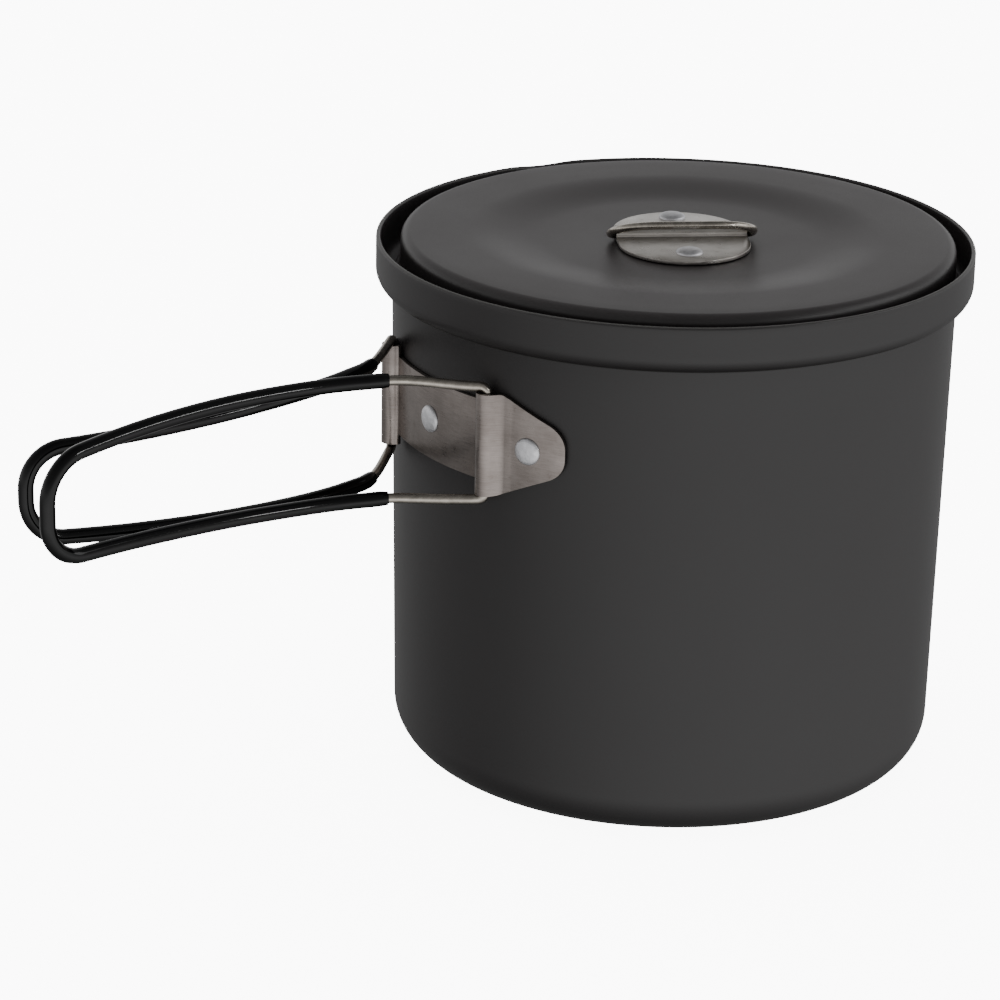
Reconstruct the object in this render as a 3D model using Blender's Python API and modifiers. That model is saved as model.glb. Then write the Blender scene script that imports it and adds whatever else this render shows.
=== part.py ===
# Camping cook pot with a drop-in lid, a folding lid ring and two folding wire handles.
# Metres, +Z up. The origin is the centre of the pot's base, and the handles reach out along -X.
import math

import bmesh
import bpy
from mathutils import Matrix, Vector

GAP = 0.0003  # room between pieces that touch

# pot
BASE_RADIUS = 0.0693
WALL_RADIUS = 0.0707  # at the crease under the rim step, so the wall tapers a little
CORNER_RADIUS = 0.0112
WALL = 0.0012
CREASE_Z = 0.1224
STEP_RADIUS = 0.0039  # outer radius of the rim step's quarter round
RIM_RADIUS = 0.07485
RIM_Z = 0.1343
SPOUT_ANGLE = 97.0  # degrees round from the handles, on the +Y side
SPOUT_HALF_WIDTH = 8.0  # degrees
SPOUT_OUT = 0.0012
SPOUT_DIP = 0.0009
TURN_STEPS = 72
HOLE_DEPTH = 0.006  # either side of the wall's outer face

# bracket
MIDDLE_Z = 0.0986  # height of the bracket's and the handles' centre line
SHEET = 0.0009
SHEET_RADIUS = 0.0713  # middle of the sheet, from the pot's axis
BARREL_ANGLE = 17.3  # degrees either side of -X
BARREL_RADIUS = 0.0727  # barrel axis, from the pot's axis
BARREL_BORE = 0.00175
FLANK_ANGLE = 36.0  # degrees; the roll leaves its circle here and slopes down to the lobe
FLANK_FILLET = 0.0015
BARREL_TOP = 0.1114
BARREL_BOTTOM = 0.0857
WEB_HALF_HEIGHT = 0.0101
RIVET_ANGLE = 26.3
LOBE_SHOULDER = 0.0012  # the lobe's top runs level this far past its barrel
LOBE_END_Y = 0.0401
LOBE_END_UP = 0.0058  # the blunt end, above and below the centre line
LOBE_END_DOWN = 0.0046
LOBE_END_RADIUS = 0.0063
LOBE_CORNER = 0.0030
STAMP_CORNER = 0.0008
BLANK_REACH = 38.0  # degrees each way, before the sheet is stamped to shape
BLANK_MARGIN = 0.004
BLANK_DEPTH = 0.036

# rivets: one pattern for the wall and one for the lid
WALL_RIVET = {"shank": 0.0020, "head": 0.0034, "rise": 0.0012, "back": 0.0032, "back_rise": 0.0010}
LID_RIVET = {"shank": 0.0018, "head": 0.0034, "rise": 0.0012, "back": 0.0030, "back_rise": 0.0009}
HOLE_ROOM = 0.0003

# handles, as a loop drawn on a curved upright sheet: run along the sheet, and height
WIRE_RADIUS = 0.00125
SLEEVE_RADIUS = 0.00188
SLEEVE_WALL = 0.00033
PIN_HALF_GAP = 0.0020
BEND_RADIUS = 0.0018
LOOP_HALF_HEIGHT = 0.0143  # at the barrel
LOOP_SWELL = 0.0006  # the loop widens by this much past the barrel
LOOP_TAPER = {"right": 0.0030, "left": 0.0042}  # and narrows by this much to its tip
LOOP_CORNER = 0.0100
SLEEVE_START = {"right": 0.0235, "left": 0.0192}  # from the barrel: the sleeves are pushed on by hand
HANDLE_LIFT = {"right": 0.0020, "left": -0.0012}  # how far each loop bows up past its middle
HANDLE_SPREAD = {"right": 0.0007, "left": -0.0006}  # and how much it widens or narrows there
BOW_SKEW = 1.4
HANDLE_DROOP = {"right": 0.0023, "left": 0.0014}  # both sink, as their pins are loose in the barrels
DROOP_RUN = 0.0200
HANDLE_SWING = 1.1  # degrees that both loops lean to -Y, where they rest on each other
HANDLE_PLAN = [
    (-0.0835, 0.0083),
    (-0.0930, 0.0048),
    (-0.1060, 0.0028),
    (-0.1260, 0.0021),
    (-0.1480, 0.0029),
    (-0.1650, 0.0043),
    (-0.1790, 0.0061),
]

# lid
LID_SHEET = 0.0009
LID_TOP = 0.1355
LID_FLOOR = 0.1336
LID_FLOOR_RADIUS = 0.0360
LID_DISH_RADIUS = 0.0510
DISH_FLAT = 0.0020  # the dish's slope eases into the flats over these runs
DISH_EASE = 0.0030
DISH_STEP = 0.0003
LID_RADIUS = 0.0694
LID_EDGE_ROUND = 0.0025
LIP_RADIUS = 0.0711
LIP_TOP = 0.1250
LIP_ROUND = 0.0010
LID_SHIFT = (0.0006, -0.0004)  # the lid sits loose in the rim, a little off its centre

# lid knob plate and ring
KNOB_TURN = -27.5  # degrees, the hinge tunnel's direction from +X
PLATE_SHEET = 0.0009
PLATE_HALF_WIDTH = 0.0165
PLATE_NEAR_OFFSET = 0.0068
PLATE_FAR_OFFSET = 0.0036
PLATE_FOOT = 0.0008  # inner radius of the fold at each foot of the tunnel
PLATE_BLANK = 0.030  # half the sheet, before it is stamped to shape
PLATE_STAMP_DEPTH = 0.008
TUNNEL_RISE = 0.0002  # the tunnel's middle above the ring's axis
KNOB_SHIFT = 0.0006  # along the tunnel
RING_WIRE = 0.0010
RING_BORE = 0.0013
RING_HALF_WIDTH = 0.0179
RING_REACH = 0.0133
RING_CORNER = 0.0105
RING_BEND = 0.0018
RING_BUTT = 0.0005
RING_ROOM = 0.0001  # between the ring's pins and the plate's underside level
RING_TILT = 25.4  # degrees above level
LID_RIVET_Y = 0.0156

MATERIALS = {
    "hard_anodised_aluminium": ((0.030, 0.029, 0.028), 0.42, 0.85),
    "stainless_steel": ((0.55, 0.53, 0.50), 0.30, 1.0),
    "rivet_aluminium": ((0.72, 0.72, 0.73), 0.38, 1.0),
    "handle_sleeve": ((0.012, 0.012, 0.013), 0.25, 0.0),
}


def clear_scene():
    for old in list(bpy.data.objects):
        bpy.data.objects.remove(old, do_unlink=True)


def make_materials():
    made = {}
    for name, (color, rough, metallic) in MATERIALS.items():
        material = bpy.data.materials.new(name)
        material.use_nodes = True
        shader = material.node_tree.nodes["Principled BSDF"]
        shader.inputs["Base Color"].default_value = (*color, 1.0)
        shader.inputs["Roughness"].default_value = rough
        shader.inputs["Metallic"].default_value = metallic
        material.diffuse_color = (*color, 1.0)
        made[name] = material
    return made


def add_object(name, data, collection):
    made = bpy.data.objects.new(name, data)
    collection.objects.link(made)
    return made


def smooth(piece, angle=35.0):
    piece.data.shade_smooth()
    piece.data.set_sharp_from_angle(angle=math.radians(angle))


def finish(piece, material):
    own = MADE[material].copy()
    own.name = f"{piece.name}_{material}"
    piece.data.materials.clear()
    piece.data.materials.append(own)
    smooth(piece)
    return piece


def baked(piece, name, collection):
    """The piece as one closed mesh with its modifiers and its place applied."""
    bpy.context.view_layer.update()
    seen = piece.evaluated_get(bpy.context.evaluated_depsgraph_get())
    mesh = bpy.data.meshes.new_from_object(seen)
    mesh.transform(piece.matrix_world)
    shape = bmesh.new()
    shape.from_mesh(mesh)
    bmesh.ops.remove_doubles(shape, verts=shape.verts, dist=1e-6)
    shape.to_mesh(mesh)
    shape.free()
    bpy.data.objects.remove(piece, do_unlink=True)
    mesh.name = name
    return add_object(name, mesh, collection)


def arc(centre, radius, start, end, steps):
    """Points round a centre, from one angle to another in degrees."""
    points = []
    for i in range(steps + 1):
        a = math.radians(start + (end - start) * i / steps)
        points.append((centre[0] + radius * math.cos(a), centre[1] + radius * math.sin(a)))
    return points


def rounded(points, radii, steps=4):
    """A closed outline with each corner rounded by its own radius."""
    out = []
    count = len(points)
    for i, (corner, radius) in enumerate(zip(points, radii)):
        if radius == 0.0:
            out.append(corner)
            continue
        here = Vector(corner)
        back = (Vector(points[i - 1]) - here).normalized()
        ahead = (Vector(points[(i + 1) % count]) - here).normalized()
        half = back.angle(ahead) / 2
        centre = here + (back + ahead).normalized() * (radius / math.sin(half))
        first = here + back * (radius / math.tan(half)) - centre
        last = here + ahead * (radius / math.tan(half)) - centre
        turn = math.atan2(first.x * last.y - first.y * last.x, first.dot(last))
        for k in range(steps + 1):
            swing = Matrix.Rotation(turn * k / steps, 2)
            out.append(tuple(centre + swing @ first))
    return out


def turned(name, profile, steps, collection):
    """A closed profile of radius and height, spun once round +Z."""
    mesh = bpy.data.meshes.new(name)
    points = [(r, 0.0, z) for r, z in profile]
    mesh.from_pydata(points, [(i, i + 1) for i in range(len(points) - 1)], [])
    piece = add_object(name, mesh, collection)
    spin = piece.modifiers.new("spin", "SCREW")
    spin.axis = "Z"
    spin.angle = 2 * math.pi
    spin.steps = steps
    spin.render_steps = steps
    spin.use_merge_vertices = True
    spin.merge_threshold = 0.00001
    return piece


def ribbon(name, path, low, high, thickness, collection):
    """A strip standing on an open plan path, thickened to both sides."""
    mesh = bpy.data.meshes.new(name)
    shape = bmesh.new()
    verts = [shape.verts.new((x, y, low)) for x, y in path]
    edges = [shape.edges.new(pair) for pair in zip(verts, verts[1:])]
    grown = bmesh.ops.extrude_edge_only(shape, edges=edges)["geom"]
    for v in grown:
        if isinstance(v, bmesh.types.BMVert):
            v.co.z = high
    shape.to_mesh(mesh)
    shape.free()
    piece = add_object(name, mesh, collection)
    wall = piece.modifiers.new("thickness", "SOLIDIFY")
    wall.thickness = thickness
    wall.offset = 0.0
    wall.use_even_offset = True
    return piece


def prism(name, outline, half_depth, place, collection):
    """A flat outline filled and thickened along its own Z, then placed."""
    curve = bpy.data.curves.new(name, "CURVE")
    curve.dimensions = "2D"
    curve.fill_mode = "BOTH"
    curve.extrude = half_depth
    line = curve.splines.new("POLY")
    line.points.add(len(outline) - 1)
    for point, (x, y) in zip(line.points, outline):
        point.co = (x, y, 0.0, 1.0)
    line.use_cyclic_u = True
    piece = add_object(name, curve, collection)
    piece.matrix_world = place
    return as_cutter(baked(piece, name, collection))


def rod_cutter(name, radius, half_length, place, sides=24):
    mesh = bpy.data.meshes.new(name)
    shape = bmesh.new()
    bmesh.ops.create_cone(
        shape, cap_ends=True, segments=sides, radius1=radius, radius2=radius, depth=2 * half_length
    )
    bmesh.ops.transform(shape, matrix=place, verts=shape.verts)
    shape.to_mesh(mesh)
    shape.free()
    return as_cutter(add_object(name, mesh, CUTTERS))


def as_cutter(piece):
    piece.hide_render = True
    piece.display_type = "WIRE"
    return piece


def cut(piece, cutter, operation="DIFFERENCE"):
    change = piece.modifiers.new(cutter.name, "BOOLEAN")
    change.object = cutter
    change.operation = operation
    change.solver = "EXACT"


def tube(name, points, radius, resolution, caps):
    curve = bpy.data.curves.new(name, "CURVE")
    curve.dimensions = "3D"
    curve.bevel_depth = radius
    curve.bevel_resolution = resolution
    curve.use_fill_caps = caps
    line = curve.splines.new("POLY")
    line.points.add(len(points) - 1)
    for point, place in zip(line.points, points):
        point.co = (*place, 1.0)
    return add_object(name, curve, PARTS)


def wall_frame(angle, height):
    """Turns local +Z to point out of the wall at an angle from -X, at a height."""
    around = math.pi + math.radians(angle)
    turn = Matrix.Rotation(around, 4, "Z") @ Matrix.Rotation(math.pi / 2, 4, "Y")
    return Matrix.Translation((0, 0, height)) @ turn


def wall_radius(height):
    low = CORNER_RADIUS
    share = (height - low) / (CREASE_Z - low)
    return BASE_RADIUS + (WALL_RADIUS - BASE_RADIUS) * share


# ---- pot ----


def pot_profile():
    """Up the inside, over the rim and down the outside."""
    corner = (BASE_RADIUS - CORNER_RADIUS, CORNER_RADIUS)
    step = (RIM_RADIUS - STEP_RADIUS, CREASE_Z + STEP_RADIUS)
    inner = [(0.0, WALL)]
    inner += arc(corner, CORNER_RADIUS - WALL, -90, 0, 5)
    inner.append((WALL_RADIUS - WALL, CREASE_Z + WALL * 0.6))
    inner += arc(step, STEP_RADIUS - WALL, -90, 0, 4)
    inner.append((RIM_RADIUS - WALL, RIM_Z - WALL * 0.4))
    top = [(RIM_RADIUS - WALL * 0.7, RIM_Z), (RIM_RADIUS - WALL * 0.3, RIM_Z)]
    outer = [(RIM_RADIUS, RIM_Z - WALL * 0.4)]
    outer += arc(step, STEP_RADIUS, 0, -90, 5)
    outer.append((WALL_RADIUS, CREASE_Z))
    outer += arc(corner, CORNER_RADIUS, 0, -90, 6)
    outer.append((0.0, 0.0))
    return inner + top + outer


def pull_spout(mesh):
    """Draws the rim out and down over a few degrees, as a pouring lip."""
    around = math.radians(180.0 - SPOUT_ANGLE)
    start = CREASE_Z + STEP_RADIUS
    for v in mesh.vertices:
        off = math.degrees(abs(math.atan2(v.co.y, v.co.x) - around))
        if v.co.z < start or off > SPOUT_HALF_WIDTH:
            continue
        share = 0.5 + 0.5 * math.cos(math.pi * off / SPOUT_HALF_WIDTH)
        rise = ((v.co.z - start) / (RIM_Z - start)) ** 2
        out = Vector((v.co.x, v.co.y, 0.0)).normalized() * SPOUT_OUT
        v.co += share * rise * (out - Vector((0, 0, SPOUT_DIP)))


def make_pot_body():
    piece = baked(turned("pot_body", pot_profile(), TURN_STEPS, PARTS), "pot_body", PARTS)
    pull_spout(piece.data)
    for side in (-1, 0, 1):
        place = wall_frame(side * RIVET_ANGLE, MIDDLE_Z) @ Matrix.Translation((0, 0, WALL_RADIUS))
        hole = rod_cutter(f"pot_hole_{side + 1}", WALL_RIVET["shank"] + HOLE_ROOM, HOLE_DEPTH, place)
        cut(piece, hole)
    return finish(piece, "hard_anodised_aluminium")


# ---- bracket ----


def flank_centre():
    """How far along the wall from the pin the flank's lower fillet is centred."""
    lean = math.radians(FLANK_ANGLE)
    rise = BARREL_RADIUS - SHEET_RADIUS - FLANK_FILLET
    return (BARREL_BORE + SHEET / 2 + FLANK_FILLET + rise * math.sin(lean)) / math.cos(lean)


def barrel_path(side):
    """One hinge barrel in plan: a tight foot at the web, a roll round the pin and a flank to the lobe."""
    middle = BARREL_BORE + SHEET / 2
    foot = SHEET * 1.1
    local = arc((-middle - foot, SHEET_RADIUS + foot), foot, -90, 0, 3)
    local += arc((0, BARREL_RADIUS), middle, 180, FLANK_ANGLE, 10)
    base = (flank_centre(), SHEET_RADIUS + FLANK_FILLET)
    local += arc(base, FLANK_FILLET, 180 + FLANK_ANGLE, 270, 3)
    if side > 0:
        local = [(-x, y) for x, y in reversed(local)]
    turn = side * math.radians(BARREL_ANGLE) + math.pi / 2
    return [
        (x * math.cos(turn) - y * math.sin(turn), x * math.sin(turn) + y * math.cos(turn))
        for x, y in local
    ]


def bracket_path():
    """The whole folded sheet in plan, from the -Y lobe to the +Y lobe."""
    foot = math.degrees((BARREL_BORE + SHEET * 1.9) / SHEET_RADIUS)
    flank = math.degrees((flank_centre() + GAP) / SHEET_RADIUS)
    path = []
    for i, side in enumerate((1, -1)):
        outer = arc((0, 0), SHEET_RADIUS, 180 + side * BLANK_REACH, 180 + side * (BARREL_ANGLE + flank), 6)
        roll = barrel_path(side)
        web = arc((0, 0), SHEET_RADIUS, 180 + side * (BARREL_ANGLE - foot), 180, 5)
        if i == 0:
            path += outer[:-1] + roll + web[1:]
        else:
            path += web[::-1][1:-1] + roll + outer[::-1][1:]
    return path


def bracket_outline():
    """The stamped outline seen square on: a low web between two tall barrels, and a lobe each side."""
    inner = BARREL_RADIUS * math.sin(math.radians(BARREL_ANGLE)) - BARREL_BORE - SHEET - GAP
    outer = inner + 2 * (BARREL_BORE + SHEET)
    web = WEB_HALF_HEIGHT
    half = [
        (inner, MIDDLE_Z + web, STAMP_CORNER),
        (inner, BARREL_TOP, STAMP_CORNER),
        (outer + LOBE_SHOULDER, BARREL_TOP, LOBE_CORNER),
        (LOBE_END_Y, MIDDLE_Z + LOBE_END_UP, LOBE_END_RADIUS),
        (LOBE_END_Y, MIDDLE_Z - LOBE_END_DOWN, LOBE_END_RADIUS),
        (outer, BARREL_BOTTOM, LOBE_CORNER),
        (inner, BARREL_BOTTOM, STAMP_CORNER),
        (inner, MIDDLE_Z - web, STAMP_CORNER),
    ]
    other = [(-y, z, radius) for y, z, radius in reversed(half)]
    corners = half + other
    return rounded([(y, z) for y, z, _ in corners], [radius for _, _, radius in corners])


def make_bracket():
    low = BARREL_BOTTOM - BLANK_MARGIN
    high = BARREL_TOP + BLANK_MARGIN
    piece = baked(
        ribbon("handle_bracket", bracket_path(), low, high, SHEET, PARTS), "handle_bracket", PARTS
    )
    face_x = Matrix(((0, 0, 1, -WALL_RADIUS), (1, 0, 0, 0), (0, 1, 0, 0), (0, 0, 0, 1)))
    cut(piece, prism("bracket_stamp", bracket_outline(), BLANK_DEPTH, face_x, CUTTERS), "INTERSECT")
    for side in (-1, 0, 1):
        place = wall_frame(side * RIVET_ANGLE, MIDDLE_Z) @ Matrix.Translation((0, 0, SHEET_RADIUS))
        hole = rod_cutter(f"bracket_hole_{side + 1}", WALL_RIVET["shank"] + HOLE_ROOM, HOLE_DEPTH, place)
        cut(piece, hole)
    return finish(piece, "stainless_steel")


# ---- rivets ----


def rivet_profile(size, outer, inner):
    """A rivet along its own Z: a low domed head at 'outer' and a flat one at 'inner'."""
    head = [
        (0.0, outer + size["rise"]),
        (size["head"] * 0.45, outer + size["rise"] * 0.93),
        (size["head"] * 0.78, outer + size["rise"] * 0.68),
        (size["head"] * 0.96, outer + size["rise"] * 0.30),
        (size["head"], outer),
    ]
    back = [
        (size["shank"], outer),
        (size["shank"], inner),
        (size["back"], inner),
        (size["back"], inner - size["back_rise"] * 0.6),
        (size["back"] * 0.85, inner - size["back_rise"]),
        (0.0, inner - size["back_rise"]),
    ]
    return head + back


def make_rivet(name, size, outer, inner, place):
    piece = turned(name, rivet_profile(size, outer, inner), 16, PARTS)
    piece.matrix_world = place
    return finish(baked(piece, name, PARTS), "rivet_aluminium")


def make_bracket_rivets():
    outer = SHEET_RADIUS + SHEET / 2 + GAP
    inner = wall_radius(MIDDLE_Z) - WALL - GAP * 1.8
    for name, side in (("right", 1), ("centre", 0), ("left", -1)):
        place = wall_frame(side * RIVET_ANGLE, MIDDLE_Z)
        make_rivet(f"bracket_rivet_{name}", WALL_RIVET, outer, inner, place)


# ---- handles ----


def barrel_axis(side):
    around = math.pi + side * math.radians(BARREL_ANGLE)
    return Vector((BARREL_RADIUS * math.cos(around), BARREL_RADIUS * math.sin(around), 0.0))


def plan_run(side):
    """The handle's line in plan from its barrel to its tip, as closely spaced points."""
    start = barrel_axis(1)
    route = [Vector((start.x, -start.y))] + [Vector(p) for p in HANDLE_PLAN]
    first = route[0] * 2 - route[1]
    last = route[-1] * 2 - route[-2]
    ghost = [first] + route + [last]
    out = []
    steps = 12
    for a, b, c, d in zip(ghost, ghost[1:], ghost[2:], ghost[3:]):
        for k in range(steps):
            t = k / steps
            place = 0.5 * (
                2 * b + (c - a) * t + (2 * a - 5 * b + 4 * c - d) * t**2 + (3 * b - a - 3 * c + d) * t**3
            )
            out.append(place)
    out.append(route[-1])
    mirrored = [Vector((p.x, -side * p.y)) for p in out]
    pivot = barrel_axis(side).xy
    swing = Matrix.Rotation(math.radians(HANDLE_SWING), 2)
    return [pivot + swing @ (p - pivot) for p in mirrored]


def along(run, distance):
    """The place at a distance along a plan run."""
    left = distance
    for a, b in zip(run, run[1:]):
        step = (b - a).length
        if left <= step:
            return a + (b - a) * (left / step)
        left -= step
    return run[-1]


def half_height(run, length, taper):
    swell = min(1.0, run / SLEEVE_START["left"])
    return LOOP_HALF_HEIGHT + LOOP_SWELL * swell * swell * (3 - 2 * swell) - taper * (run / length) ** 2


def loop_outline(length, taper):
    """The loop on its upright sheet: run and height, from the upper pin round to the lower pin."""
    half = [(0.0, PIN_HALF_GAP)]
    half += arc((BEND_RADIUS, LOOP_HALF_HEIGHT - BEND_RADIUS), BEND_RADIUS, 180, 90, 4)
    start = length - LOOP_CORNER
    strands = 18
    for i in range(1, strands):
        run = BEND_RADIUS + (start - BEND_RADIUS) * i / strands
        half.append((run, half_height(run, length, taper)))
    half += arc((start, half_height(start, length, taper) - LOOP_CORNER), LOOP_CORNER, 90, 0, 6)
    return half + [(run, -height) for run, height in reversed(half)]


def handle_points(name, side):
    run = plan_run(side)
    length = sum((b - a).length for a, b in zip(run, run[1:]))
    points = []
    for distance, height in loop_outline(length, LOOP_TAPER[name]):
        place = along(run, distance)
        bow = math.sin(math.pi * (distance / length) ** BOW_SKEW)
        lift = bow * (HANDLE_LIFT[name] + HANDLE_SPREAD[name] * math.copysign(1.0, height))
        droop = HANDLE_DROOP[name] * distance / (distance + DROOP_RUN)
        points.append(Vector((place.x, place.y, MIDDLE_Z + height + lift - droop)))
    return points


def sleeve_points(points, side, start):
    """The part of the loop that the sleeve covers, cut at an exact distance from the barrel."""
    pivot = barrel_axis(side).xy
    inside = [p for p in points if (p.xy - pivot).length > start]
    first = points.index(inside[0])
    last = points.index(inside[-1])
    ends = []
    for near, far in ((points[first - 1], inside[0]), (points[last + 1], inside[-1])):
        low = (near.xy - pivot).length
        high = (far.xy - pivot).length
        ends.append(near.lerp(far, (start - low) / (high - low)))
    return [ends[0]] + inside + [ends[1]]


def make_handle(name, side):
    points = handle_points(name, side)
    pivot = barrel_axis(side)
    hinge = bpy.data.objects.new(f"{name}_hinge", None)
    hinge.empty_display_size = 0.01
    hinge.location = (pivot.x, pivot.y, MIDDLE_Z)
    PARTS.objects.link(hinge)
    wire = baked(tube(f"handle_wire_{name}", points, WIRE_RADIUS, 2, True), f"handle_wire_{name}", PARTS)
    covered = sleeve_points(points, side, SLEEVE_START[name])
    hose = tube(f"handle_sleeve_{name}", covered, SLEEVE_RADIUS, 3, False)
    sleeve = baked(hose, f"handle_sleeve_{name}", PARTS)
    wall = sleeve.modifiers.new("wall", "SOLIDIFY")
    wall.thickness = SLEEVE_WALL
    wall.offset = -1.0
    finish(wire, "stainless_steel")
    finish(sleeve, "handle_sleeve")
    for piece in (wire, sleeve):
        piece.parent = hinge
        piece.matrix_parent_inverse = Matrix.Translation(-hinge.location)


# ---- lid ----


def lid_profile():
    """Under the lid from the middle to the lip, then back over the top."""
    t = LID_SHEET
    edge = (LID_RADIUS - LID_EDGE_ROUND, LID_TOP - LID_EDGE_ROUND)
    lip = (LID_RADIUS + LIP_ROUND, LIP_TOP + LIP_ROUND)
    under = [(0.0, LID_FLOOR - t), (LID_FLOOR_RADIUS - DISH_FLAT, LID_FLOOR - t)]
    under += [(LID_FLOOR_RADIUS + DISH_EASE, LID_FLOOR - t + DISH_STEP)]
    under += [(LID_DISH_RADIUS - DISH_EASE, LID_TOP - t - DISH_STEP)]
    under += [(LID_DISH_RADIUS + DISH_FLAT, LID_TOP - t)]
    under += arc(edge, LID_EDGE_ROUND - t, 90, 0, 2)
    under += arc(lip, LIP_ROUND + t, 180, 270, 3)
    under += [(LIP_RADIUS, LIP_TOP - t)]
    over = [(LIP_RADIUS, LIP_TOP)]
    over += arc(lip, LIP_ROUND, 270, 180, 3)
    over += arc(edge, LID_EDGE_ROUND, 0, 90, 4)
    over += [(LID_DISH_RADIUS + DISH_FLAT, LID_TOP), (LID_DISH_RADIUS - DISH_EASE, LID_TOP - DISH_STEP)]
    over += [(LID_FLOOR_RADIUS + DISH_EASE, LID_FLOOR + DISH_STEP)]
    over += [(LID_FLOOR_RADIUS - DISH_FLAT, LID_FLOOR)]
    over += [(0.0, LID_FLOOR)]
    return (under + over)[::-1]


def lid_place():
    return Matrix.Translation((*LID_SHIFT, 0))


def knob_frame():
    """On the lid's axis, with X along the hinge tunnel."""
    turn = Matrix.Rotation(math.radians(KNOB_TURN), 4, "Z")
    return lid_place() @ turn @ Matrix.Translation((KNOB_SHIFT, 0, 0))


def lid_rivet_places():
    for name, y in (("front", -LID_RIVET_Y), ("back", LID_RIVET_Y)):
        yield name, knob_frame() @ Matrix.Translation((0, y, 0))


def make_lid():
    disc = turned("lid_pan", lid_profile(), TURN_STEPS, PARTS)
    disc.matrix_world = lid_place()
    piece = baked(disc, "lid_pan", PARTS)
    for name, place in lid_rivet_places():
        spot = place @ Matrix.Translation((0, 0, LID_FLOOR))
        cut(piece, rod_cutter(f"lid_hole_{name}", LID_RIVET["shank"] + HOLE_ROOM, HOLE_DEPTH, spot))
    return finish(piece, "hard_anodised_aluminium")


def plate_mid():
    return LID_FLOOR + GAP + PLATE_SHEET / 2


def ring_axis_z():
    return LID_FLOOR + GAP + RING_WIRE + RING_ROOM


def plate_path():
    """The knob plate's section across the tunnel: flat, up over the ring's wire, and flat again."""
    mid = plate_mid()
    roll = RING_BORE + PLATE_SHEET / 2
    foot = PLATE_FOOT
    path = [(-PLATE_BLANK, mid)]
    path += arc((-roll - foot, mid + foot), foot, -90, 0, 3)
    path += arc((0, ring_axis_z() + TUNNEL_RISE), roll, 180, 0, 12)
    path += arc((roll + foot, mid + foot), foot, 180, 270, 3)
    path += [(PLATE_BLANK, mid)]
    return path


def make_knob_plate():
    strip = ribbon("lid_knob_plate", plate_path(), -PLATE_BLANK, PLATE_BLANK, PLATE_SHEET, PARTS)
    upright = Matrix(((0, 0, 1, 0), (1, 0, 0, 0), (0, 1, 0, 0), (0, 0, 0, 1)))
    strip.matrix_world = knob_frame() @ upright
    piece = baked(strip, "lid_knob_plate", PARTS)
    near = arc((0, -PLATE_NEAR_OFFSET), PLATE_HALF_WIDTH, 180, 360, 24)
    far = arc((0, PLATE_FAR_OFFSET), PLATE_HALF_WIDTH, 0, 180, 24)
    place = knob_frame() @ Matrix.Translation((0, 0, plate_mid()))
    cut(piece, prism("plate_stamp", near + far, PLATE_STAMP_DEPTH, place, CUTTERS), "INTERSECT")
    for name, spot in lid_rivet_places():
        spot = spot @ Matrix.Translation((0, 0, plate_mid()))
        cut(piece, rod_cutter(f"plate_hole_{name}", LID_RIVET["shank"] + HOLE_ROOM, HOLE_DEPTH, spot))
    return finish(piece, "stainless_steel")


def ring_points():
    """The ring in its own plane: pins along the hinge, two legs and a bar with round corners."""
    half = [(RING_BUTT, 0.0), (RING_HALF_WIDTH * 0.45, 0.0)]
    half += arc((RING_HALF_WIDTH - RING_BEND, RING_BEND), RING_BEND, -90, 0, 4)
    half += arc((RING_HALF_WIDTH - RING_CORNER, RING_REACH - RING_CORNER), RING_CORNER, 0, 90, 7)
    return half + [(-x, y) for x, y in reversed(half)]


def make_lid_ring():
    tilt = Matrix.Rotation(math.pi - math.radians(RING_TILT), 4, "X")
    place = knob_frame() @ Matrix.Translation((0, 0, ring_axis_z())) @ tilt
    points = [place @ Vector((x, y, 0.0)) for x, y in ring_points()]
    hinge = bpy.data.objects.new("lid_ring_hinge", None)
    hinge.empty_display_size = 0.01
    hinge.matrix_world = knob_frame() @ Matrix.Translation((0, 0, ring_axis_z()))
    PARTS.objects.link(hinge)
    bpy.context.view_layer.update()
    ring = baked(tube("lid_ring", points, RING_WIRE, 3, True), "lid_ring", PARTS)
    ring.parent = hinge
    ring.matrix_parent_inverse = hinge.matrix_world.inverted()
    return finish(ring, "stainless_steel")


def make_lid_rivets():
    outer = LID_FLOOR + GAP + PLATE_SHEET + GAP
    inner = LID_FLOOR - LID_SHEET - GAP
    for name, place in lid_rivet_places():
        make_rivet(f"lid_rivet_{name}", LID_RIVET, outer, inner, place)


def new_collection(name):
    made = bpy.data.collections.new(name)
    bpy.context.scene.collection.children.link(made)
    return made


clear_scene()
MADE = make_materials()
PARTS = new_collection("camping_cook_pot")
CUTTERS = new_collection("cutters")
make_pot_body()
make_bracket()
make_bracket_rivets()
make_handle("right", 1)
make_handle("left", -1)
make_lid()
make_knob_plate()
make_lid_ring()
make_lid_rivets()
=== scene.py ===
import math

import bmesh
import bpy
from mathutils import Matrix, Vector


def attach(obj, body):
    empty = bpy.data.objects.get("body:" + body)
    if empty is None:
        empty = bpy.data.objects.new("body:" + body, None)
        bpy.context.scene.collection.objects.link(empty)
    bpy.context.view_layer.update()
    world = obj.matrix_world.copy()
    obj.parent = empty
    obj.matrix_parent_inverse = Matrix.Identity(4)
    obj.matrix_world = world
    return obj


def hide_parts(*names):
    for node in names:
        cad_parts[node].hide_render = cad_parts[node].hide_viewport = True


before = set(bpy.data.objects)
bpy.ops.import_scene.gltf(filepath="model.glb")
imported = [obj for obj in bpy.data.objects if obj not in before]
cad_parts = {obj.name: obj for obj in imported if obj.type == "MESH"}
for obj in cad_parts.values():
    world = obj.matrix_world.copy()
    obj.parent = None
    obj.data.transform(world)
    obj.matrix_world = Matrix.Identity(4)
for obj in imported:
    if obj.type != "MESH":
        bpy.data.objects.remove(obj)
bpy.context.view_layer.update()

print("pot: frame loaded,", len(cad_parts), "nodes")

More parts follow.
